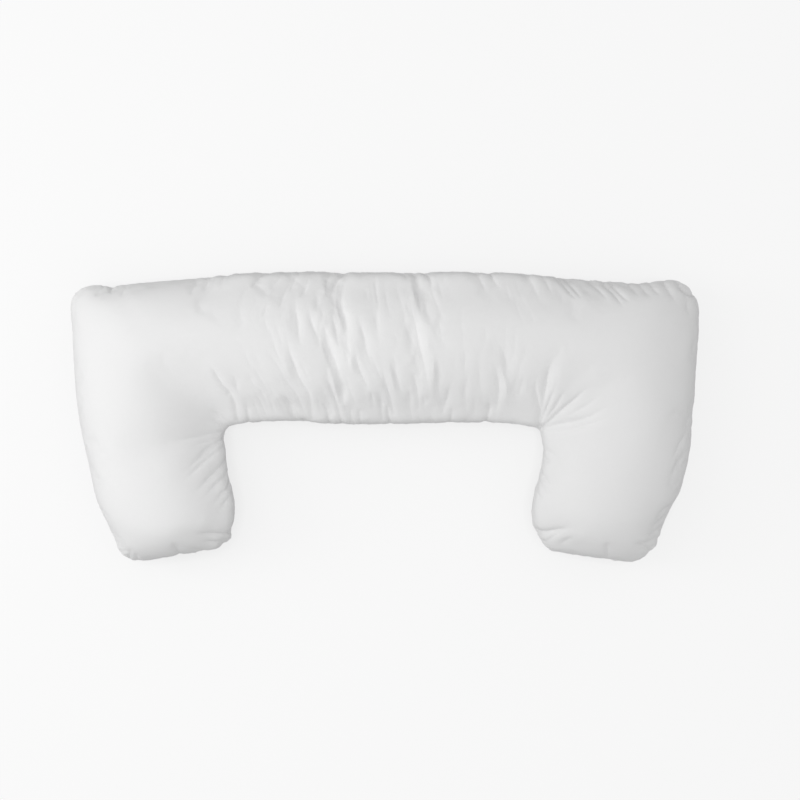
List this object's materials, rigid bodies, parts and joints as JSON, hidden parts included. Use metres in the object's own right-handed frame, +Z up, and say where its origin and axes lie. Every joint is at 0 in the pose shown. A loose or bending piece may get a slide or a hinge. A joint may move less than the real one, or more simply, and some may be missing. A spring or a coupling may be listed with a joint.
{
  "type": "u-shaped pillow",
  "caption": "U-shaped stuffed cotton pillow: a straight bar with an arm at each end, two panels sewn round one edge, lying flat.",
  "frame": {"origin": "centre of the pillow's outline, on the surface it lies on", "axes": "+X along the straight bar, to the right seen from above with the arms towards the viewer; +Y from the arms to the bar; +Z up"},
  "size_m": [0.9642, 0.449, 0.1569],
  "materials": {
    "cotton": "matte"
  },
  "bodies": {
    "root": {"pillow": "cotton"}
  },
  "joints": []
}
